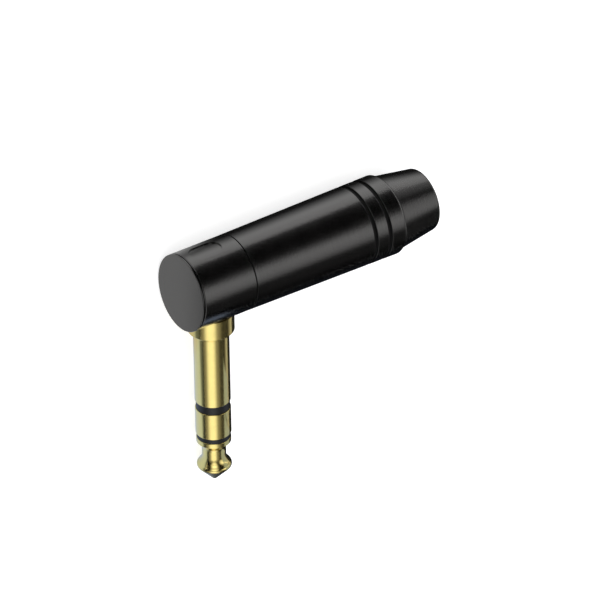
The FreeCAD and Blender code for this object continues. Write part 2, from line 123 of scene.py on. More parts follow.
class JackFingerSizes(bpy.types.PropertyGroup):
    """Sizes of the contact finger."""

    radius: bpy.props.FloatProperty(
        name="Radius", description="Radius of sleeve and ring", default=3.175 * MM, unit="LENGTH")
    sleeve_end: bpy.props.FloatProperty(
        name="Sleeve end", description="From the shoulder to the upper band", default=14.2 * MM,
        unit="LENGTH")
    ring_start: bpy.props.FloatProperty(
        name="Ring start", description="From the shoulder to the ring", default=15.8 * MM, unit="LENGTH")
    ring_end: bpy.props.FloatProperty(
        name="Ring end", description="From the shoulder to the lower band", default=21.05 * MM, unit="LENGTH")
    tip_start: bpy.props.FloatProperty(
        name="Tip start", description="From the shoulder to the tip's rim", default=22.0 * MM, unit="LENGTH")
    tip_end: bpy.props.FloatProperty(
        name="Tip end", description="From the shoulder to the blunt nose", default=31.2 * MM, unit="LENGTH")
    rim_radius: bpy.props.FloatProperty(
        name="Rim radius", description="Radius of the tip's rim", default=3.1 * MM, unit="LENGTH")
    neck_radius: bpy.props.FloatProperty(
        name="Neck radius", description="Radius of the tip's neck", default=2.14 * MM, unit="LENGTH")
    neck_length: bpy.props.FloatProperty(
        name="Neck length", description="Straight part of the neck", default=1.2 * MM, unit="LENGTH")
    neck_sweep: bpy.props.FloatProperty(
        name="Neck sweep", description="Radius of the hollow between rim and neck", default=2.0 * MM,
        unit="LENGTH")
    neck_root: bpy.props.FloatProperty(
        name="Neck root", description="Radius of the hollow between neck and ball", default=2.2 * MM,
        unit="LENGTH")
    ball_radius: bpy.props.FloatProperty(
        name="Ball radius", description="Ball at its widest", default=3.12 * MM, unit="LENGTH")
    ball_crown: bpy.props.FloatProperty(
        name="Ball crown", description="Rounding of the ball's outline", default=0.65 * MM, unit="LENGTH")
    ball_from_tip: bpy.props.FloatProperty(
        name="Ball from tip", description="From the nose to the ball's widest place", default=3.25 * MM,
        unit="LENGTH")
    cone_half_angle: bpy.props.FloatProperty(
        name="Cone half angle", description="Between the cone's side and the axis",
        default=math.radians(43), subtype="ANGLE")
    collar_radius: bpy.props.FloatProperty(
        name="Collar radius", description="Radius of the collar", default=4.15 * MM, unit="LENGTH")
    edge: bpy.props.FloatProperty(
        name="Edge", description="Rounding of the turned edges", default=0.1 * MM, unit="LENGTH")


class JackCapSizes(bpy.types.PropertyGroup):
    """Sizes of the cap that closes the head's front."""

    radius: bpy.props.FloatProperty(
        name="Radius", description="Radius of the head and its cap", default=7.0 * MM, unit="LENGTH")
    front: bpy.props.FloatProperty(
        name="Front", description="Middle of the front face on the barrel axis", default=-6.09 * MM,
        unit="LENGTH")
    slant: bpy.props.FloatProperty(
        name="Slant", description="How far the face leans back at its top", default=math.radians(3.55),
        subtype="ANGLE")
    thickness: bpy.props.FloatProperty(
        name="Thickness", description="From the face to the joint with the head", default=0.5 * MM,
        unit="LENGTH")
    rim: bpy.props.FloatProperty(
        name="Rim", description="From the face to the dark line", default=0.2 * MM, unit="LENGTH")
    joint_width: bpy.props.FloatProperty(
        name="Joint width", description="Width of the dark line behind the rim", default=0.2 * MM,
        unit="LENGTH")
    joint_depth: bpy.props.FloatProperty(
        name="Joint depth", description="Depth of the dark line", default=0.4 * MM, unit="LENGTH")


class JackBarrelSizes(bpy.types.PropertyGroup):
    """Sizes of the shell, the bush and the thread."""

    shell_start: bpy.props.FloatProperty(
        name="Shell start", description="Shell's front edge on the barrel axis", default=5.34 * MM,
        unit="LENGTH")
    shell_end: bpy.props.FloatProperty(
        name="Shell end", description="Shell's rear rim on the barrel axis", default=36.9 * MM, unit="LENGTH")
    front_radius: bpy.props.FloatProperty(
        name="Front radius", description="Shell's radius at its front", default=7.02 * MM, unit="LENGTH")
    rear_radius: bpy.props.FloatProperty(
        name="Rear radius", description="Shell's radius at its rear rim", default=7.38 * MM, unit="LENGTH")
    bore_radius: bpy.props.FloatProperty(
        name="Bore radius", description="Shell's bore", default=6.1 * MM, unit="LENGTH")
    groove_width: bpy.props.FloatProperty(
        name="Groove width", description="Width of each ring groove", default=0.8 * MM, unit="LENGTH")
    groove_depth: bpy.props.FloatProperty(
        name="Groove depth", description="Depth of each ring groove", default=0.42 * MM, unit="LENGTH")
    bush_end: bpy.props.FloatProperty(
        name="Bush end", description="Bush's end on the barrel axis", default=45.38 * MM, unit="LENGTH")
    thread_pitch: bpy.props.FloatProperty(
        name="Thread pitch", description="Travel of the shell for one turn", default=0.75 * MM, unit="LENGTH")


class JackFinish(bpy.types.PropertyGroup):
    """Colours of the finishes."""

    enamel: bpy.props.FloatVectorProperty(
        name="Barrel enamel", description="Satin black of head and shell", subtype="COLOR",
        default=linear("#030303"), min=0, max=1)
    gold: bpy.props.FloatVectorProperty(
        name="Gold plate", description="Bright gold of the contacts", subtype="COLOR",
        default=linear("#FFE88A"), min=0, max=1)
    band: bpy.props.FloatVectorProperty(
        name="Insulating bands", description="Black nylon between the contacts", subtype="COLOR",
        default=linear("#161514"), min=0, max=1)
    grain_size: bpy.props.FloatProperty(
        name="Grain size", description="Grain of the enamel", default=0.3 * MM, unit="LENGTH")


class JackStage(bpy.types.PropertyGroup):
    """Camera, floor and light."""

    camera_at: bpy.props.FloatVectorProperty(
        name="Camera place", description="Where the camera stands", subtype="TRANSLATION", unit="LENGTH",
        default=(-0.4991738, 0.5183396, 0.8186157))
    camera_turn: bpy.props.FloatVectorProperty(
        name="Camera turn", description="Which way the camera looks", subtype="EULER", unit="ROTATION",
        default=(math.radians(-25.22691), math.radians(-34.58038), math.radians(-5.36872)))
    lens: bpy.props.FloatProperty(
        name="Lens", description="Focal length on a 36 mm sensor", default=375.283, unit="CAMERA")
    floor_size: bpy.props.FloatProperty(
        name="Floor size", description="Side of the pale floor", default=6.0, unit="LENGTH")
    soft_light: bpy.props.FloatProperty(
        name="Soft light", description="Strength of the light from all round", default=0.92, min=0)


# Outlines and meshes

def arc(centre, radius, start, end, steps=8):
    """Points on an arc in an outline, with its angles in degrees from the axis direction."""
    points = []
    for i in range(steps + 1):
        angle = math.radians(start + (end - start) * i / steps)
        points.append((centre[0] + radius * math.cos(angle), centre[1] + radius * math.sin(angle)))
    return points


def make_object(name, vertices, faces, body, slot, material):
    """Smooth mesh object that rides on a body and takes a finish."""
    mesh = bpy.data.meshes.new(name)
    mesh.from_pydata(vertices, [], faces)
    outwards = bmesh.new()
    outwards.from_mesh(mesh)
    bmesh.ops.recalc_face_normals(outwards, faces=outwards.faces)
    outwards.to_mesh(mesh)
    outwards.free()
    mesh.polygons.foreach_set("use_smooth", [True] * len(mesh.polygons))
    mesh.set_sharp_from_angle(angle=SMOOTH_BELOW)
    mesh.materials.append(material)
    piece = bpy.data.objects.new(name, mesh)
    bpy.context.scene.collection.objects.link(piece)
    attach(piece, body)
    return piece


def guarded(outline):
    """The outline with a point close to each end of its long lines, which keeps them evenly shaded."""
    points = []
    for i, here in enumerate(outline):
        there = outline[(i + 1) % len(outline)]
        points.append(here)
        length = math.dist(here, there)
        if length > LONG_LINE:
            for share in (GUARD / length, 1 - GUARD / length):
                points.append(tuple(a + (b - a) * share for a, b in zip(here, there)))
    return points


def turned(outline, place):
    """Vertices and faces of a closed outline turned about the X axis of a place."""
    outline = guarded(outline)
    vertices = []
    for along, radius in outline:
        for i in range(SEGMENTS):
            angle = 2 * math.pi * i / SEGMENTS
            vertices.append(place @ Vector((along, radius * math.cos(angle), radius * math.sin(angle))))
    faces = []
    rings = len(outline)
    for ring in range(rings):
        here = ring * SEGMENTS
        there = (ring + 1) % rings * SEGMENTS
        for i in range(SEGMENTS):
            j = (i + 1) % SEGMENTS
            faces.append((here + i, here + j, there + j, there + i))
    return vertices, faces


def groove_outline(centre, width, depth, skin, edge):
    """Square ring groove with softened edges, in a skin given as a function of the station."""
    half, floor = width / 2, skin(centre) - depth
    outline = arc((centre - half - edge, skin(centre - half) - edge), edge, 90, 0, 3)
    outline += arc((centre - half + edge, floor + edge), edge, 180, 270, 3)
    outline += arc((centre + half - edge, floor + edge), edge, 270, 360, 3)
    outline += arc((centre + half + edge, skin(centre + half) - edge), edge, 180, 90, 3)
    return outline


def shell_outline(sizes):
    """Closed outline of the shell as station and radius, clockwise from the mouth."""
    start, end = sizes.shell_start, sizes.shell_end
    slope = (sizes.rear_radius - sizes.front_radius) / (end - start)
    edge, rim, groove_edge = 0.06 * MM, 0.42 * MM, 0.05 * MM

    def skin(station):
        return sizes.front_radius + slope * (station - start)

    outline = [(start + edge, sizes.bore_radius), (start, sizes.bore_radius + edge)]
    outline += arc((start + edge, skin(start) - edge), edge, 180, 90, 4)
    for back in GROOVES:
        outline += groove_outline(end - back, sizes.groove_width, sizes.groove_depth, skin, groove_edge)
    outline += arc((end - rim, sizes.rear_radius - rim), rim, 90, 0, 8)
    socket_end, socket_radius = end - 2.9 * MM, 5.4 * MM
    throat, cone_start = 4.65 * MM, 27.6 * MM       # of the inner cone that closes the chuck
    outline += [(end, socket_radius), (socket_end, socket_radius), (socket_end, throat),
                (cone_start, sizes.bore_radius)]
    return outline


def cap_outline(sizes):
    """Closed outline of the front cap with its boss, before the face is leaned back."""
    edge, centre_line, boss_radius, boss_length = 0.1 * MM, 0.01 * MM, 5.78 * MM, 1.5 * MM
    back, floor = sizes.front + sizes.thickness, sizes.radius - sizes.joint_depth
    joint_start = sizes.front + sizes.rim
    joint_end = joint_start + sizes.joint_width
    outline = [(sizes.front, centre_line)]
    outline += arc((sizes.front + edge, sizes.radius - edge), edge, 180, 90, 4)
    outline += [(joint_start, sizes.radius), (joint_start, floor),
                (joint_end, floor), (joint_end, sizes.radius),
                (back, sizes.radius), (back, boss_radius),
                (back + boss_length, boss_radius), (back + boss_length, centre_line)]
    return outline


def bush_outline(sizes):
    """Closed outline of the cable bush."""
    start, end = sizes.shell_end + 0.08 * MM, sizes.bush_end
    inner_start, hole, seat = sizes.shell_end - 2.9 * MM, 3.7 * MM, 5.38 * MM
    edge, end_round, flare = 0.12 * MM, 0.6 * MM, 0.8 * MM
    start_radius, end_radius, taper = 6.93 * MM, 5.8 * MM, 6        # the taper in degrees
    outline = [(inner_start, hole), (inner_start, seat), (start, seat)]
    outline += arc((start + edge, start_radius - edge), edge, 180, 90, 4)
    outline += arc((end - end_round, end_radius - end_round), end_round, 90 - taper, 0, 10)
    outline += arc((end - flare, hole + flare), flare, 0, -90, 8)
    return outline


def collar_outline(sizes):
    """Closed outline of the sleeve contact, counted from the shoulder towards the tip."""
    edge, chamfer = sizes.edge, 0.6 * MM
    bore, stud = 2.32 * MM, 3.0 * MM
    collar_top, stud_top = -4.2 * MM, -8.8 * MM
    outline = [(sizes.sleeve_end, bore)]
    outline += arc((sizes.sleeve_end - edge, sizes.radius - edge), edge, 0, 90, 4)
    outline += arc((edge, sizes.radius + edge), edge, 270, 180, 4)
    outline += arc((-edge, sizes.collar_radius - chamfer - edge), edge, 0, 45, 3)
    outline += arc((-chamfer - edge, sizes.collar_radius - edge), edge, 45, 90, 3)
    outline += [(collar_top, sizes.collar_radius), (collar_top, stud), (stud_top, stud), (stud_top, bore)]
    return outline


def ring_outline(sizes):
    """Closed outline of the ring contact with its tube."""
    edge, bore, tube, top = sizes.edge, 1.42 * MM, 1.85 * MM, -10.2 * MM
    outline = [(sizes.ring_end, bore)]
    outline += arc((sizes.ring_end - edge, sizes.radius - edge), edge, 0, 90, 4)
    outline += arc((sizes.ring_start + edge, sizes.radius - edge), edge, 90, 180, 4)
    outline += [(sizes.ring_start, tube), (top, tube), (top, bore)]
    return outline


def tip_outline(sizes):
    """Closed outline of the tip: rounded nose, cone, ball, neck, rim and rod."""
    neck, sweep, root, crown = sizes.neck_radius, sizes.neck_sweep, sizes.neck_root, sizes.ball_crown
    rod, rod_top, centre_line, nose_round = 1.0 * MM, -12.9 * MM, 0.01 * MM, 0.3 * MM
    slope = sizes.cone_half_angle
    ball = (sizes.tip_end - sizes.ball_from_tip, sizes.ball_radius - crown)
    meet = math.acos((neck + root - ball[1]) / (crown + root))
    root_at = ball[0] - (crown + root) * math.sin(meet)
    neck_at = root_at - sizes.neck_length
    rim_turn = math.acos((neck + sweep - sizes.rim_radius) / sweep)
    cone = arc(ball, crown, 90 - math.degrees(slope), 90 + math.degrees(meet), 20)
    nose = cone[0][1] - (sizes.tip_end - cone[0][0]) * math.tan(slope)
    nose_centre = (sizes.tip_end - nose_round, nose - nose_round * math.tan((math.pi / 2 - slope) / 2))
    outline = [(sizes.tip_end, centre_line)]
    outline += arc(nose_centre, nose_round, 0, 90 - math.degrees(slope), 6)
    outline += cone
    outline += arc((root_at, neck + root), root, 270 + math.degrees(meet), 270, 12)[1:]
    outline += arc((neck_at, neck + sweep), sweep, 270, 270 - math.degrees(rim_turn), 14)
    outline += arc((sizes.tip_start + sizes.edge, sizes.rim_radius - sizes.edge), sizes.edge, 90, 180, 4)
    outline += [(sizes.tip_start, rod), (rod_top, rod), (rod_top, centre_line)]
    return outline


def thread_mesh(sizes, place):
    """Helical ridge on the head's spigot, fading in and out over half a turn."""
    start, end, root, crest = 5.75 * MM, 10.55 * MM, 5.58 * MM, 6.0 * MM
    ridge = ((-0.34, 0), (-0.05, 1), (0.05, 1), (0.34, 0))      # mm along the axis, share of the height
    steps_a_turn = 96
    turns = (end - start) / sizes.thread_pitch
    steps = int(turns * steps_a_turn)
    vertices, faces = [], []
    for step in range(steps + 1):
        share = step / steps
        angle = 2 * math.pi * turns * share
        height = (crest - root) * min(1, 2 * turns * share, 2 * turns * (1 - share))
        middle = start + (end - start) * share
        for offset, rise in ridge:
            radius = root + height * rise
            along = middle + offset * MM
            vertices.append(place @ Vector((along, radius * math.cos(angle), radius * math.sin(angle))))
    for step in range(steps):
        here, there = 4 * step, 4 * step + 4
        for i in range(4):
            j = (i + 1) % 4
            faces.append((here + i, there + i, there + j, here + j))
    faces.append((0, 1, 2, 3))
    faces.append(tuple(4 * steps + i for i in (3, 2, 1, 0)))
    return vertices, faces


# Finishes

ENAMEL_LINES = 0.3 * MM     # spacing of the turning lines under enamel
METAL_LINES = 0.08 * MM     # and of those on plated metal
LINE_STRETCH = 0.015        # width of a turning line over its length
HANDLING = 3 * MM           # size of the duller places that handling leaves on enamel
CLOUD = 0.9 * MM            # size of the clouds in a plating
FIBRE = 0.3 * MM            # width of a washer's paper fibres, drawn a few times coarser so that they show
FIBRE_LAY = (1, 1, 5)       # the fibres lie flat in the washer
NOISE_RANGE = {"From Min": 0.3, "From Max": 0.7}      # where a noise mostly stays


def add_node(tree, kind, settings=None, links=None):
    """Adds a node, sets its properties and sockets, and links its inputs."""
    node = tree.nodes.new(kind)
    for key, value in (settings or {}).items():
        if isinstance(key, str) and hasattr(node, key):
            setattr(node, key, value)
        else:
            node.inputs[key].default_value = value
    for key, source in (links or {}).items():
        tree.links.new(source, node.inputs[key])
    return node


def new_material(name):
    """Empty material with its output node."""
    material = bpy.data.materials.new(name)
    material.use_nodes = True
    material.node_tree.nodes.clear()
    output = add_node(material.node_tree, "ShaderNodeOutputMaterial")
    return material, material.node_tree, output


def turning_lines(tree, place, axis_turn, spacing):
    """Height of fine lines round a turned piece, with the turning axis laid along X by a rotation.

    A real tool leaves them under 0.05 mm apart, so they are drawn as coarse as they need to show.
    """
    laid = add_node(tree, "ShaderNodeMapping", {"Rotation": axis_turn}, {"Vector": place})
    drawn = add_node(tree, "ShaderNodeMapping", {"Scale": (1, LINE_STRETCH, LINE_STRETCH)},
                     {"Vector": laid.outputs["Vector"]})
    return add_node(tree, "ShaderNodeTexNoise", {"Scale": 1 / spacing, "Detail": 3.0, "Roughness": 0.6},
                    {"Vector": drawn.outputs["Vector"]}).outputs["Fac"]


def satin_enamel(name, colour, grain, coat, turned_lines):
    """Satin black with a clear coat: stoved enamel on turned die-cast zinc, or the bush's moulded plastic.

    It goes fully black between soft wide highlights, which a fine orange peel and the turning lines
    under it break up a little. The peel is drawn a little coarser than real, so that it shows.
    """
    material, tree, output = new_material(name)
    place = add_node(tree, "ShaderNodeTexCoord").outputs["Object"]
    peel = add_node(tree, "ShaderNodeTexNoise", {"Scale": 1 / grain, "Detail": 2.0}, {"Vector": place})
    handled = add_node(tree, "ShaderNodeTexNoise", {"Scale": 1 / HANDLING, "Detail": 2.0}, {"Vector": place})
    dull = add_node(tree, "ShaderNodeMapRange", {**NOISE_RANGE, "To Min": 0.19, "To Max": 0.26},
                    {"Value": handled.outputs["Fac"]})
    base = add_node(tree, "ShaderNodeMix", {
        "data_type": "RGBA", "A": rgba(colour), "B": rgba(colour, 0.8)},
        {"Factor": peel.outputs["Fac"]})
    lines = turning_lines(tree, place, (0, 0, 0), ENAMEL_LINES)
    relief = add_node(tree, "ShaderNodeMath", {"operation": "MULTIPLY_ADD", 1: turned_lines},
                      {0: lines, 2: peel.outputs["Fac"]})
    bump = add_node(tree, "ShaderNodeBump", {"Strength": 0.5, "Distance": 0.03 * MM},
                    {"Height": relief.outputs[0]})
    shader = add_node(tree, "ShaderNodeBsdfPrincipled", {
        "IOR": 1.6, "Specular Tint": rgba(linear("#FFFCF7")),
        "Coat Weight": coat, "Coat Roughness": 0.22, "Coat IOR": 1.6}, {
        "Base Color": base.outputs["Result"], "Roughness": dull.outputs["Result"],
        "Normal": bump.outputs["Normal"], "Coat Normal": bump.outputs["Normal"]})
    tree.links.new(shader.outputs["BSDF"], output.inputs["Surface"])
    return material


def moulded_plastic(name, colour, dull_range, ior, grain):
    """Moulded plastic: even colour, a dull skin and the faint unevenness of the mould."""
    material, tree, output = new_material(name)
    place = add_node(tree, "ShaderNodeTexCoord").outputs["Object"]
    skin = add_node(tree, "ShaderNodeTexNoise", {"Scale": 1 / grain, "Detail": 3.0}, {"Vector": place})
    dull = add_node(tree, "ShaderNodeMapRange", {
        **NOISE_RANGE, "To Min": dull_range[0], "To Max": dull_range[1]},
        {"Value": skin.outputs["Fac"]})
    base = add_node(tree, "ShaderNodeMix", {
        "data_type": "RGBA", "A": rgba(colour), "B": rgba(colour, 0.88)},
        {"Factor": skin.outputs["Fac"]})
    bump = add_node(tree, "ShaderNodeBump", {"Strength": 0.15, "Distance": 0.015 * MM},
                    {"Height": skin.outputs["Fac"]})
    shader = add_node(tree, "ShaderNodeBsdfPrincipled", {"IOR": ior}, {
        "Base Color": base.outputs["Result"], "Roughness": dull.outputs["Result"],
        "Normal": bump.outputs["Normal"]})
    tree.links.new(shader.outputs["BSDF"], output.inputs["Surface"])
    return material


def plated_metal(name, colour, dull_range, axis_turn, coat):
    """Plated turned metal: a bright mirror with fine turning lines and faint clouds.

    The gold has a clear coat besides, whose white gleam pales it a little.
    """
    material, tree, output = new_material(name)
    place = add_node(tree, "ShaderNodeTexCoord").outputs["Object"]
    cloud = add_node(tree, "ShaderNodeTexNoise", {"Scale": 1 / CLOUD, "Detail": 3.0}, {"Vector": place})
    dull = add_node(tree, "ShaderNodeMapRange", {
        **NOISE_RANGE, "To Min": dull_range[0], "To Max": dull_range[1]},
        {"Value": cloud.outputs["Fac"]})
    base = add_node(tree, "ShaderNodeMix", {
        "data_type": "RGBA", "A": rgba(colour), "B": rgba(colour, 0.93)},
        {"Factor": cloud.outputs["Fac"]})
    lines = turning_lines(tree, place, axis_turn, METAL_LINES)
    bump = add_node(tree, "ShaderNodeBump", {"Strength": 0.08, "Distance": 0.004 * MM}, {"Height": lines})
    shader = add_node(tree, "ShaderNodeBsdfPrincipled", {
        "Metallic": 1.0, "Coat Weight": coat, "Coat Roughness": 0.15, "Coat IOR": 1.6}, {
        "Base Color": base.outputs["Result"], "Roughness": dull.outputs["Result"],
        "Normal": bump.outputs["Normal"]})
    tree.links.new(shader.outputs["BSDF"], output.inputs["Surface"])
    return material


def pressed_fibre(name, colour):
    """Vulcanised fibre: matt red-brown with paper fibres in its face."""
    material, tree, output = new_material(name)
    place = add_node(tree, "ShaderNodeTexCoord").outputs["Object"]
    drawn = add_node(tree, "ShaderNodeMapping", {"Scale": FIBRE_LAY}, {"Vector": place})
    fibres = add_node(tree, "ShaderNodeTexNoise", {"Scale": 1 / FIBRE, "Detail": 5.0},
                      {"Vector": drawn.outputs["Vector"]})
    base = add_node(tree, "ShaderNodeMix", {
        "data_type": "RGBA", "A": rgba(colour), "B": rgba(colour, 0.6)},
        {"Factor": fibres.outputs["Fac"]})
    bump = add_node(tree, "ShaderNodeBump", {"Strength": 0.4, "Distance": 0.02 * MM},
                    {"Height": fibres.outputs["Fac"]})
    shader = add_node(tree, "ShaderNodeBsdfPrincipled", {"Roughness": 0.75, "IOR": 1.5}, {
        "Base Color": base.outputs["Result"], "Normal": bump.outputs["Normal"]})
    tree.links.new(shader.outputs["BSDF"], output.inputs["Surface"])
    return material


def get_material(name):
    """A finish that an earlier step made."""
    if name not in bpy.data.materials:
        raise RuntimeError("the finishes come before the pieces")
    return bpy.data.materials[name]


def dark_faces(vertices, faces, place, test):
    """Indexes of a turned piece's faces whose middle passes a test of station and radius."""
    to_axis = place.inverted()
    chosen = []
    for index, face in enumerate(faces):
        middle = to_axis @ (sum((vertices[i] for i in face), Vector()) / len(face))
        if test(middle.x, math.hypot(middle.y, middle.z)):
            chosen.append(index)
    return chosen


def paint_groove_shade(piece, indexes):
    """Gives some faces of a piece a matt black, painted shade that makes a deep groove read as a black line.
    """
    piece.data.materials.append(get_material("painted_groove_shade"))
    for index in indexes:
        piece.data.polygons[index].material_index = 1


NODE_FINISHES = {
    "head_housing": "satin_enamel_head",
    "ring_insulator": "nylon_band",
    "tip_insulator": "nylon_band",
    "sleeve_lug": "tinned_brass",
    "ring_lug": "tinned_brass",
    "tip_lug": "tinned_brass",
    "lock_washer": "nickel_steel",
    "sleeve_nut": "nickel_steel",
    "tip_nut": "nickel_steel",
    "lower_washer": "red_fibre",
    "upper_washer": "red_fibre",
    "terminal_carrier": "natural_nylon",
    "liner": "natural_nylon",
    "chuck": "acetal_chuck",
}


# Operators

class JACK_OT_finishes(bpy.types.Operator):
    """Make every finish and put it on the solids that stay in view"""

    bl_idname = "jack.finishes"
    bl_label = "Finishes"

    def execute(self, context):
        finish = context.scene.jack_finish
        along_barrel, along_finger = (0, 0, 0), (0, 0, math.pi / 2)
        # Enamelled zinc: the shell shows its turning more than the cast head
        satin_enamel("satin_enamel_head", finish.enamel, finish.grain_size, 1.0, 0.3)
        satin_enamel("satin_enamel_shell", finish.enamel, finish.grain_size, 1.0, 1.0)
        # Turned brass under hard gold: a warm mirror
        plated_metal("gold_plate", finish.gold, (0.16, 0.22), along_finger, 1.0)
        # Stamped brass dipped in tin: pale, with a soft shine
        plated_metal("tinned_brass", linear("#DAD7CF"), (0.28, 0.42), along_barrel, 0.0)
        # Steel under nickel: bright and a little yellow
        plated_metal("nickel_steel", linear("#CFCBC2"), (0.18, 0.28), along_finger, 0.0)
        # Moulded black nylon: even and half matt
        moulded_plastic("nylon_band", finish.band, (0.38, 0.5), 1.53, 0.2 * MM)
        # Undyed nylon: milky white and half matt
        moulded_plastic("natural_nylon", linear("#E2E0D6"), (0.42, 0.55), 1.53, 0.4 * MM)
        # Moulded acetal: dark, with a waxy shine
        moulded_plastic("acetal_chuck", linear("#252628"), (0.35, 0.45), 1.48, 0.35 * MM)
        # The bush's plastic, satin as the shell and with the coarsest lines
        satin_enamel("satin_plastic_bush", finish.enamel, finish.grain_size, 0.8, 1.2)
        # Painted shade for the narrow grooves, the shell's seam and the cap's joint: a dark matt finish that
        # catches no reflections, so they read as black lines
        moulded_plastic("painted_groove_shade", linear("#050505"), (0.55, 0.65), 1.4, finish.grain_size)
        # Pressed fibre: matt red-brown
        pressed_fibre("red_fibre", linear("#8A4232"))
        smooth = self.smooth_by_angle()
        for node, name in NODE_FINISHES.items():
            solid = frame["nodes"][node]
            for material_slot in solid.material_slots:
                material_slot.material = get_material(name)
            solid.modifiers.new("smooth", "NODES").node_group = smooth
        return {"FINISHED"}

    def smooth_by_angle(self):
        """Modifier that shades a solid smoothly across its shallow edges."""
        tree = bpy.data.node_groups.new("smooth_by_angle", "GeometryNodeTree")
        for direction in ("INPUT", "OUTPUT"):
            tree.interface.new_socket("Geometry", in_out=direction, socket_type="NodeSocketGeometry")
        entry = add_node(tree, "NodeGroupInput")
        angle = add_node(tree, "GeometryNodeInputMeshEdgeAngle")
        shallow = add_node(tree, "FunctionNodeCompare", {"operation": "LESS_THAN", "B": SMOOTH_BELOW},
                           {"A": angle.outputs["Unsigned Angle"]})
        faces = add_node(tree, "GeometryNodeSetShadeSmooth", {"domain": "FACE"},
                         {"Geometry": entry.outputs[0]})
        edges = add_node(tree, "GeometryNodeSetShadeSmooth", {"domain": "EDGE"}, {
            "Geometry": faces.outputs["Geometry"], "Shade Smooth": shallow.outputs["Result"]})
        leave = add_node(tree, "NodeGroupOutput")
        tree.links.new(edges.outputs["Geometry"], leave.inputs[0])
        return tree


class JACK_OT_finger(bpy.types.Operator):
    """Turn the sleeve, ring and tip of the contact finger"""

    bl_idname = "jack.finger"
    bl_label = "Contact finger"

    def execute(self, context):
        sizes = context.scene.jack_finger
        place = axis_place("plug_pin")
        gold = get_material("gold_plate")
        outlines = {
            "sleeve_contact": ("finger_sleeve", collar_outline(sizes)),
            "ring_contact": ("finger_ring", ring_outline(sizes)),
            "tip_contact": ("finger_tip", tip_outline(sizes)),
        }
        for node, (name, outline) in outlines.items():
            piece = make_object(name, *turned(outline, place), "head", "gilt_contact", gold)
            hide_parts(node)
        return {"FINISHED"}


class JACK_OT_cap(bpy.types.Operator):
    """Turn the front cap and lean its face back"""

    bl_idname = "jack.cap"
    bl_label = "Front cap"

    def execute(self, context):
        sizes = context.scene.jack_cap
        place = barrel_place()
        joint_at = sizes.front + sizes.rim + sizes.joint_width / 2
        disc_end = sizes.front + sizes.thickness
        vertices, faces = turned(cap_outline(sizes), place)
        joint = dark_faces(vertices, faces, place, lambda station, radius: (
            abs(station - joint_at) < (sizes.joint_width + GUARD) / 2 and radius < sizes.radius - GUARD / 2))
        up = -Vector(MOUNTS["plug_pin"]["axis"])
        for vertex in vertices:
            if vertex.x < disc_end + GUARD:
                vertex.x += math.tan(sizes.slant) * up.dot(vertex - place.translation)
        cap = make_object("head_cap", vertices, faces, "head", "housing_enamel",
                          get_material("satin_enamel_head"))
        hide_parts("front_cap")
        # Painted shade: the joint's faces take a matt black, so the joint reads as a dark line
        paint_groove_shade(cap, joint)
        return {"FINISHED"}


class JACK_OT_barrel(bpy.types.Operator):
    """Turn the flared shell with its ring grooves, and the cable bush"""

    bl_idname = "jack.barrel"
    bl_label = "Shell and bush"

    def execute(self, context):
        sizes = context.scene.jack_barrel
        place = barrel_place()
        seam_end = sizes.shell_start + 0.05 * MM
        deepest, shallowest = sizes.bore_radius + 0.1 * MM, sizes.rear_radius - 0.2 * MM

        def in_groove_or_seam(station, radius):
            back = sizes.shell_end - station
            beside = any(abs(back - groove) < sizes.groove_width for groove in GROOVES)
            return station < seam_end or (beside and deepest < radius < shallowest)

        vertices, faces = turned(shell_outline(sizes), place)
        grooves = dark_faces(vertices, faces, place, in_groove_or_seam)
        shell = make_object("barrel_shell", vertices, faces, "shell", "shell_enamel",
                            get_material("satin_enamel_shell"))
        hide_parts("shell")
        # Painted shade: the grooves and the seam take a matt black, so they read as black lines
        paint_groove_shade(shell, grooves)
        bush = make_object("cable_bush", *turned(bush_outline(sizes), place), "shell", "tail_plastic",
                           get_material("satin_plastic_bush"))
        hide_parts("tail_bush")
        return {"FINISHED"}


class JACK_OT_thread(bpy.types.Operator):
    """Cut the fine thread on the head's spigot"""

    bl_idname = "jack.thread"
    bl_label = "Spigot thread"

    def execute(self, context):
        vertices, faces = thread_mesh(context.scene.jack_barrel, barrel_place())
        make_object("spigot_thread", vertices, faces, "head", "housing_enamel",
                    get_material("satin_enamel_head"))
        return {"FINISHED"}


# White cards in the dark tent, as seen in the gloss: direction, inner and outer edge in degrees, level
WHITE_CARDS = (
    ((0.78, 0.62, 0.03), 2, 24, 0.45),          # low behind the barrel, its upper highlight
    ((0.47, -0.06, 0.88), 4, 26, 0.78),         # overhead softbox, front half: the barrel's lower highlight
    ((0.70, 0.10, 0.71), 4, 26, 0.5),           # overhead softbox, rear half: the bush's lower highlight
    ((-0.50, -0.62, 0.60), 0, 29, 0.80),        # the finger's bright middle
    ((-0.50, -0.62, 0.60), 0, 52, 0.35),        # its soft fall-off
    ((0.42, -0.62, 0.66), 8, 28, 0.04),         # the finger's dark stripe
    ((1.00, -0.20, -0.12), 20, 44, 0.5),        # the finger's pale right edge
    ((-0.22, -0.95, 0.22), 6, 25, 0.8),         # in front of the tip
    ((-0.48, 0.35, 0.75), 4, 30, 0.9),          # over the tip, the bright middle of the ball's rear
    ((-0.54, 0.02, 0.84), 4, 22, 0.35),         # its joint with the finger's bright middle
    ((-0.34, 0.70, 0.63), 4, 24, 0.8),          # its far half, for the hollow behind the ball
    ((0.88, 0.20, 0.44), 4, 18, 0.8),           # the pale right side of the ball
)
TENT_LEVEL = 0.003          # what the gloss sees of the tent between the cards

# Upright cards beside the finger: name, station on the barrel axis, near and far end, bottom and top in mm,
# and level. The finger's gloss sees them, and most of the barrel's looks past them.
SIDE_CARDS = (
    ("card_by_the_sleeve", 10, -15, -25, 3, 11, 0.34),
    ("card_by_the_ring", 10, -26, -40, 0, 11, 0.34),
)
DAYLIGHT = linear("#D4E4FF")
COOL_WHITE = tuple(value / DAYLIGHT[0] for value in DAYLIGHT)      # beside the finger, it pales the gold

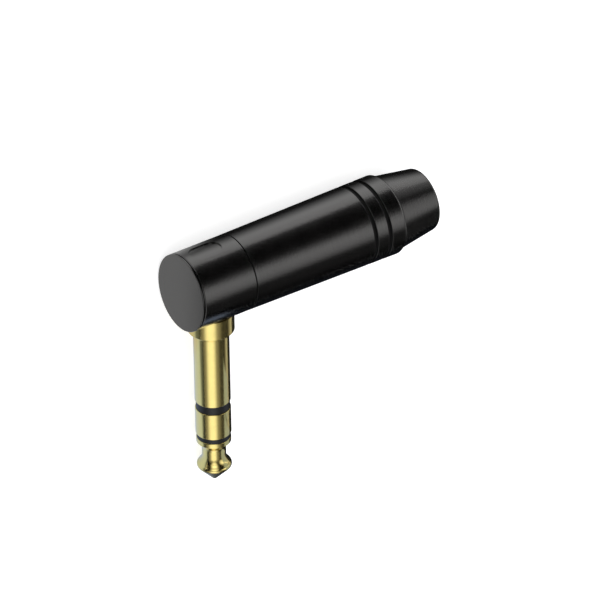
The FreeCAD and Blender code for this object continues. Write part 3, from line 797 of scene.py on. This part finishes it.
# Light on the floor as the gloss sees it: an axis, two places on it in mm, and the level at each
FLOOR_LIGHT = {
    "behind": ("Y", 18, 32, 0.0, 1.12),         # lit behind the barrel, where its upper edge looks
    "left": ("X", -22, -11, 0.12, 0.54),        # lit beside the finger and before the front face
    "right": ("X", -5, 7, 1.0, 0.02),           # goes dark under the barrel, whose underside stays black
    "front": ("Y", -38, -28, 0.25, 1.0),        # dims in front of the tip
    "neutral": ("Y", -9, -3, 0.0, 1.0),         # cool beside the finger, neutral before the face
}
GLOSS_FLOOR_SIZE = 3.0              # in metres
GLOSS_FLOOR_GAP = 0.01 * MM         # from the floor up to what the gloss sees of it
FLOOR_GLOW = 0.62                   # lifts the lit floor to white, but leaves it the plug's shadow

SOFTBOX_AT = (0.72, -0.05, 1.35)    # in metres
SOFTBOX_SIZE = 1.1
SOFTBOX_POWER = 1.2                 # in watts


class JACK_OT_stage(bpy.types.Operator):
    """Set the pale floor, the soft light, the cards that the gloss sees, and the camera"""

    bl_idname = "jack.stage"
    bl_label = "Floor, light and camera"

    def execute(self, context):
        stage = context.scene.jack_stage
        self.make_floor(stage)
        self.make_world(context.scene, stage)
        self.make_gloss_floor()
        for card in SIDE_CARDS:
            self.make_side_card(*card)
        self.make_softbox()
        camera = bpy.data.cameras.new("camera")
        camera.lens = stage.lens
        camera.sensor_width = 36
        camera.clip_start, camera.clip_end = 0.01, 20
        viewer = bpy.data.objects.new("camera", camera)
        viewer.location = stage.camera_at
        viewer.rotation_euler = stage.camera_turn
        context.scene.collection.objects.link(viewer)
        context.scene.camera = viewer
        context.scene.view_settings.view_transform = "Standard"
        return {"FINISHED"}

    def square(self, size, level):
        """Corners of a level square about the origin."""
        half = size / 2
        return [(-half, -half, level), (half, -half, level), (half, half, level), (-half, half, level)]

    def flat_object(self, name, corners, material):
        """Object of one face, whose glow isn't sampled as a lamp."""
        mesh = bpy.data.meshes.new(name)
        mesh.from_pydata(corners, [], [(0, 1, 2, 3)])
        material.cycles.emission_sampling = "NONE"
        mesh.materials.append(material)
        flat = bpy.data.objects.new(name, mesh)
        bpy.context.scene.collection.objects.link(flat)
        return flat

    def make_floor(self, stage):
        """Pale floor just under the plug, lifted to white for camera and clear rays.

        Its lift holds for glossy rays too, but near the plug they meet the gloss floor above it instead.
        """
        material, tree, output = new_material("pale_floor")
        rays = add_node(tree, "ShaderNodeLightPath")
        seen = rays.outputs["Is Camera Ray"]
        for kind in ("Is Glossy Ray", "Is Transmission Ray"):
            seen = add_node(tree, "ShaderNodeMath", {"operation": "MAXIMUM"},
                            {0: seen, 1: rays.outputs[kind]}).outputs[0]
        lift = add_node(tree, "ShaderNodeMath", {"operation": "MULTIPLY", 1: FLOOR_GLOW}, {0: seen})
        matt = add_node(tree, "ShaderNodeBsdfDiffuse", {"Color": rgba(linear("#F0F0F0"))})
        glow = add_node(tree, "ShaderNodeEmission", {"Color": WHITE}, {"Strength": lift.outputs[0]})
        both = add_node(tree, "ShaderNodeAddShader", None, {0: matt.outputs[0], 1: glow.outputs[0]})
        tree.links.new(both.outputs[0], output.inputs["Surface"])
        floor = self.flat_object("floor", self.square(stage.floor_size, CAD_LOW.z), material)

    def make_gloss_floor(self):
        """Seen by gloss instead of the white floor: lit behind the barrel and by the finger, else dim."""
        material, tree, output = new_material("reflected_floor")
        place = add_node(tree, "ShaderNodeTexCoord").outputs["Object"]
        parts = add_node(tree, "ShaderNodeSeparateXYZ", None, {0: place})
        light = {}
        for name, (axis, first, last, first_level, last_level) in FLOOR_LIGHT.items():
            ramp = add_node(tree, "ShaderNodeMapRange", {
                "interpolation_type": "SMOOTHSTEP", "From Min": first * MM, "From Max": last * MM,
                "To Min": first_level, "To Max": last_level}, {"Value": parts.outputs[axis]})
            light[name] = ramp.outputs["Result"]
        near = light["left"]
        for name in ("right", "front"):
            near = add_node(tree, "ShaderNodeMath", {"operation": "MULTIPLY"},
                            {0: near, 1: light[name]}).outputs[0]
        lit = add_node(tree, "ShaderNodeMath", {"operation": "MAXIMUM"}, {0: light["behind"], 1: near})
        total = add_node(tree, "ShaderNodeMath", {"operation": "MAXIMUM", 1: TENT_LEVEL},
                         {0: lit.outputs[0]})
        colour = add_node(tree, "ShaderNodeMix", {
            "data_type": "RGBA", "A": rgba(COOL_WHITE), "B": WHITE}, {"Factor": light["neutral"]})
        glow = add_node(tree, "ShaderNodeEmission", None,
                        {"Color": colour.outputs["Result"], "Strength": total.outputs[0]})
        tree.links.new(glow.outputs[0], output.inputs["Surface"])
        corners = self.square(GLOSS_FLOOR_SIZE, CAD_LOW.z + GLOSS_FLOOR_GAP)
        self.hang_card(self.flat_object("gloss_floor", corners, material))

    def make_side_card(self, name, along, near, far, low, top, level):
        """Upright card across the barrel's direction, beside the finger."""
        material, tree, output = new_material(name)
        glow = add_node(tree, "ShaderNodeEmission", {"Color": rgba(COOL_WHITE), "Strength": level})
        tree.links.new(glow.outputs[0], output.inputs["Surface"])
        corners = [(along, near, low), (along, far, low), (along, far, top), (along, near, top)]
        self.hang_card(self.flat_object(name, [Vector(corner) * MM for corner in corners], material))

    def hang_card(self, card):
        """Lets only the gloss see a glowing card."""
        card.visible_camera = False
        card.visible_diffuse = False
        card.visible_transmission = False
        card.visible_volume_scatter = False
        card.visible_shadow = False

    def make_world(self, scene, stage):
        """Tent: even soft light, white to the camera, and dark with white cards to glossy and clear rays."""
        world = bpy.data.worlds.new("tent")
        world.use_nodes = True
        tree = world.node_tree
        tree.nodes.clear()
        rays = add_node(tree, "ShaderNodeLightPath")
        direction = add_node(tree, "ShaderNodeTexCoord").outputs["Generated"]
        tent = add_node(tree, "ShaderNodeValue").outputs[0]
        tent.default_value = TENT_LEVEL
        for toward, inner, outer, level in WHITE_CARDS:
            dot = add_node(tree, "ShaderNodeVectorMath",
                           {"operation": "DOT_PRODUCT", 1: Vector(toward).normalized()}, {0: direction})
            card = add_node(tree, "ShaderNodeMapRange", {
                "interpolation_type": "SMOOTHSTEP",
                "From Min": math.cos(math.radians(outer)), "From Max": math.cos(math.radians(inner)),
                "To Min": 0.0, "To Max": level}, {"Value": dot.outputs["Value"]})
            tent = add_node(tree, "ShaderNodeMath", {"operation": "ADD"},
                            {0: tent, 1: card.outputs["Result"]}).outputs[0]
        clear = add_node(tree, "ShaderNodeMath", {"operation": "MAXIMUM"},
                         {0: rays.outputs["Is Glossy Ray"], 1: rays.outputs["Is Transmission Ray"]})
        gloss = add_node(tree, "ShaderNodeMix", {"data_type": "FLOAT", "A": stage.soft_light},
                         {"Factor": clear.outputs[0], "B": tent})
        shown = add_node(tree, "ShaderNodeMix", {"data_type": "FLOAT", "B": 1.0},
                         {"Factor": rays.outputs["Is Camera Ray"], "A": gloss.outputs["Result"]})
        background = add_node(tree, "ShaderNodeBackground", {"Color": WHITE},
                              {"Strength": shown.outputs["Result"]})
        output = add_node(tree, "ShaderNodeOutputWorld")
        tree.links.new(background.outputs[0], output.inputs["Surface"])
        world.cycles.sampling_method = "NONE"       # keeps the soft light out of the gloss
        scene.world = world

    def make_softbox(self):
        """Square softbox aimed at the plug, unseen by camera and gloss."""
        light = bpy.data.lights.new("overhead_softbox", "AREA")
        light.shape = "SQUARE"
        light.size = SOFTBOX_SIZE
        light.energy = SOFTBOX_POWER
        lamp = bpy.data.objects.new("overhead_softbox", light)
        lamp.location = SOFTBOX_AT
        lamp.rotation_euler = (-Vector(SOFTBOX_AT)).to_track_quat("-Z", "Y").to_euler()
        lamp.visible_camera = False
        lamp.visible_glossy = False
        bpy.context.scene.collection.objects.link(lamp)


class JACK_PT_panel(bpy.types.Panel):
    """Steps and sizes of the jack plug"""

    bl_idname = "JACK_PT_panel"
    bl_label = "Jack plug"
    bl_space_type = "VIEW_3D"
    bl_region_type = "UI"
    bl_category = "Jack plug"

    def draw(self, context):
        for operator in STEPS:
            self.layout.operator(operator.bl_idname)
        for group in GROUPS:
            box = self.layout.box()
            settings = getattr(context.scene, group)
            for name in settings.__annotations__:
                box.prop(settings, name)


STEPS = (JACK_OT_finishes, JACK_OT_finger, JACK_OT_cap, JACK_OT_barrel, JACK_OT_thread, JACK_OT_stage)
GROUPS = {
    "jack_finger": JackFingerSizes,
    "jack_cap": JackCapSizes,
    "jack_barrel": JackBarrelSizes,
    "jack_finish": JackFinish,
    "jack_stage": JackStage,
}


def register():
    for group, kind in GROUPS.items():
        bpy.utils.register_class(kind)
        setattr(bpy.types.Scene, group, bpy.props.PointerProperty(type=kind))
    for kind in (*STEPS, JACK_PT_panel):
        bpy.utils.register_class(kind)


def unregister():
    for kind in reversed((*STEPS, JACK_PT_panel)):
        bpy.utils.unregister_class(kind)
    for group, kind in reversed(GROUPS.items()):
        delattr(bpy.types.Scene, group)
        bpy.utils.unregister_class(kind)


def main():
    """Runs every step in order."""
    register()
    bpy.ops.jack.finishes()
    bpy.ops.jack.finger()
    bpy.ops.jack.cap()
    bpy.ops.jack.barrel()
    bpy.ops.jack.thread()
    bpy.ops.jack.stage()


if __name__ == "__main__":
    main()
